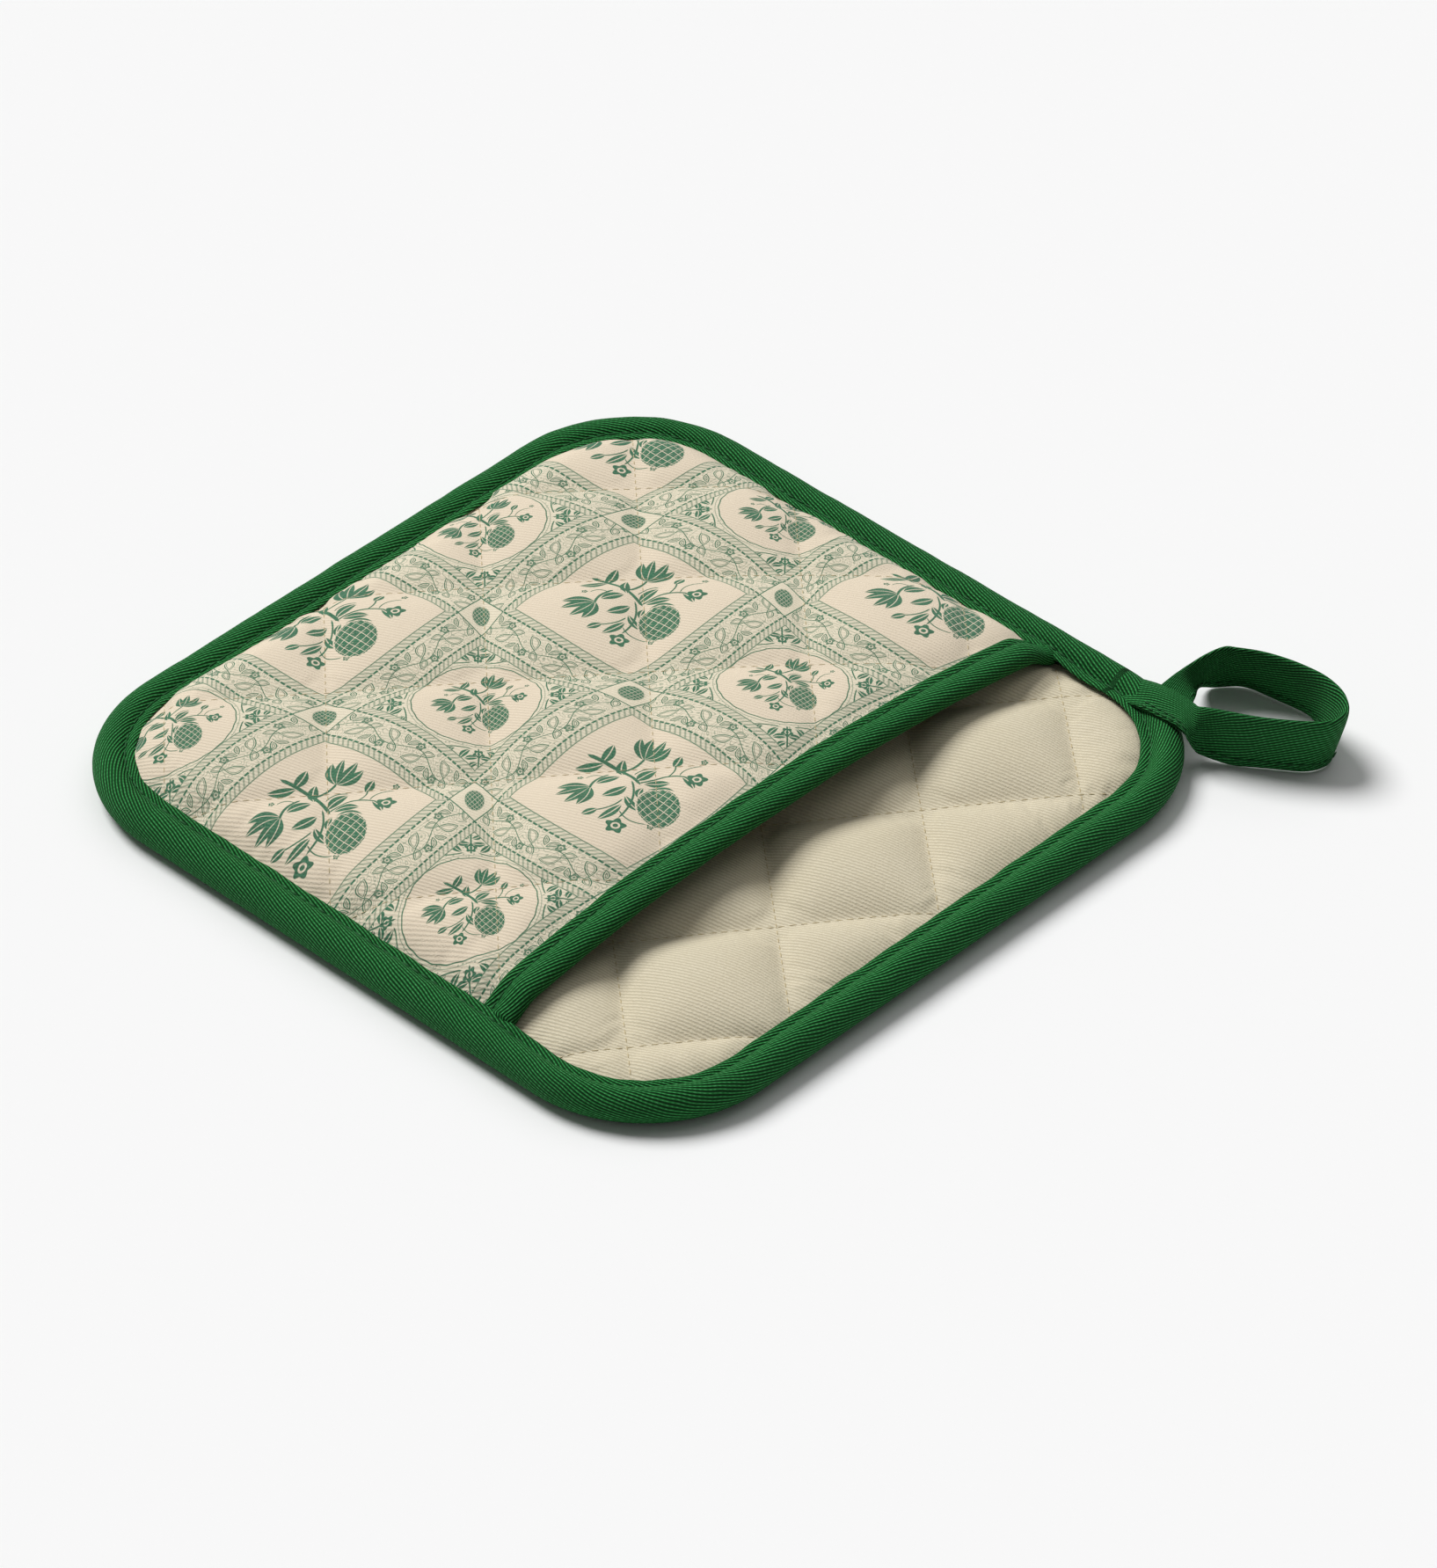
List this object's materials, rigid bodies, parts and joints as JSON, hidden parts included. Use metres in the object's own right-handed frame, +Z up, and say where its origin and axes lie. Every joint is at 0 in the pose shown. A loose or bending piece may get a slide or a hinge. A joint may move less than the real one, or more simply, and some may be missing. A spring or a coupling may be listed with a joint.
{
  "type": "pot holder",
  "caption": "Square quilted cotton pot holder with a bound edge, an open-mouthed hand pocket over most of its face, and a corner hanging loop.",
  "frame": {"origin": "the pad's centre, on the plane that the holder rests on", "axes": "+Z up out of the pad's face, +Y towards the pocket's sewn end, the loop at the (+X, -Y) corner"},
  "size_m": [0.2244, 0.2169, 0.0205],
  "materials": {
    "printed_cotton": "matte",
    "cream_cotton": "matte",
    "wadding": "matte",
    "green_bias_tape": "matte",
    "green_thread": "satin",
    "tan_thread": "satin"
  },
  "bodies": {
    "pad": {"back_cloth": "printed_cotton", "pad_wadding": "wadding", "pad_lining_cloth": "cream_cotton", "edge_binding": "green_bias_tape", "edge_binding_thread": "green_thread", "pad_quilting_thread": "tan_thread", "loop_front_end": "green_bias_tape", "loop_back_end": "green_bias_tape", "loop_bar_tack": "green_thread"},
    "pocket": {"pocket_lining_cloth": "cream_cotton", "pocket_wadding": "wadding", "pocket_print_cloth": "printed_cotton", "mouth_binding": "green_bias_tape", "mouth_binding_thread": "green_thread", "pocket_quilting_thread": "tan_thread"},
    "loop": {"hanging_loop": "green_bias_tape", "loop_thread": "green_thread"}
  },
  "joints": [
    {"name": "pocket_lift", "type": "hinge", "parent": "pad", "child": "pocket", "pos_m": [0, 0.0888, 0.0056], "axis": [-1, 0, 0], "range_deg": [0, 10]},
    {"name": "loop_lift", "type": "hinge", "parent": "pad", "child": "loop", "pos_m": [0.0898, -0.0898, 0.008], "axis": [-0.7071, -0.7071, 0], "range_deg": [0, 90]}
  ]
}
